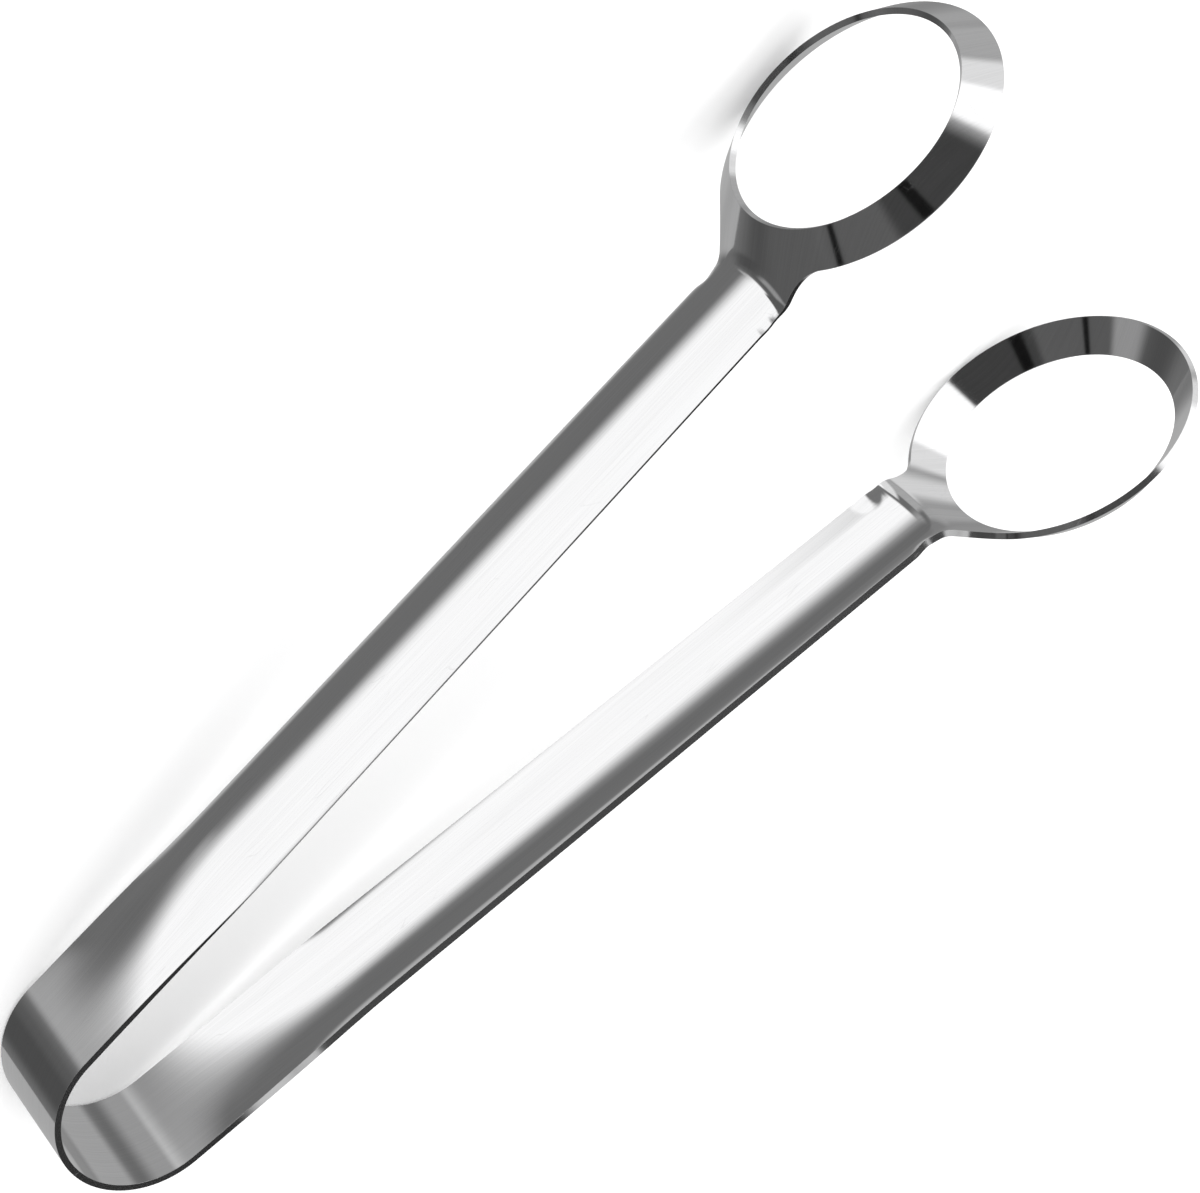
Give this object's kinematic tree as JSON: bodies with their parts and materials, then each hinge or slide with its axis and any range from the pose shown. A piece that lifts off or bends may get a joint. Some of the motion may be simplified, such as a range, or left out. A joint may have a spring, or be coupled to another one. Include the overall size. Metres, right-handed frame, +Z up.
{
  "type": "ice tongs",
  "caption": "Spring ice tongs: a bent steel strip with channelled arms that end in dished gripping rings and close when squeezed.",
  "frame": {"origin": "on the surface that the tongs lie on, under the middle of their bounding box, with the tongs lying on the side edges of the strip", "axes": "+X runs from the bow to the rings, +Y points across the opening to the left arm, +Z is up, across the width of the strip"},
  "size_m": [0.1692, 0.0664, 0.0384],
  "materials": {
    "steel": "polished stainless steel with a fine satin grain along the strip"
  },
  "bodies": {
    "bow": {"bow_crown": "steel"},
    "left_arm": {"left_bow_flank": "steel", "left_arm_root": "steel", "left_arm_channel": "steel", "left_neck": "steel", "left_ring": "steel"},
    "right_arm": {"right_bow_flank": "steel", "right_arm_root": "steel", "right_arm_channel": "steel", "right_neck": "steel", "right_ring": "steel"}
  },
  "joints": [
    {"name": "left_flex", "type": "hinge", "parent": "bow", "child": "left_arm", "pos_m": [-0.08033, 0.00792, 0.00874], "axis": [0.0716, 0, -0.9974], "range_deg": [-3, 9.7], "stiffness_Nm_per_rad": 5.5},
    {"name": "right_flex", "type": "hinge", "parent": "bow", "child": "right_arm", "pos_m": [-0.08033, -0.00792, 0.00874], "axis": [-0.0716, 0, 0.9974], "range_deg": [-3, 9.7], "stiffness_Nm_per_rad": 5.5}
  ],
  "couplings": [
    {"joint": "right_flex", "follows": "left_flex", "ratio": 1}
  ]
}
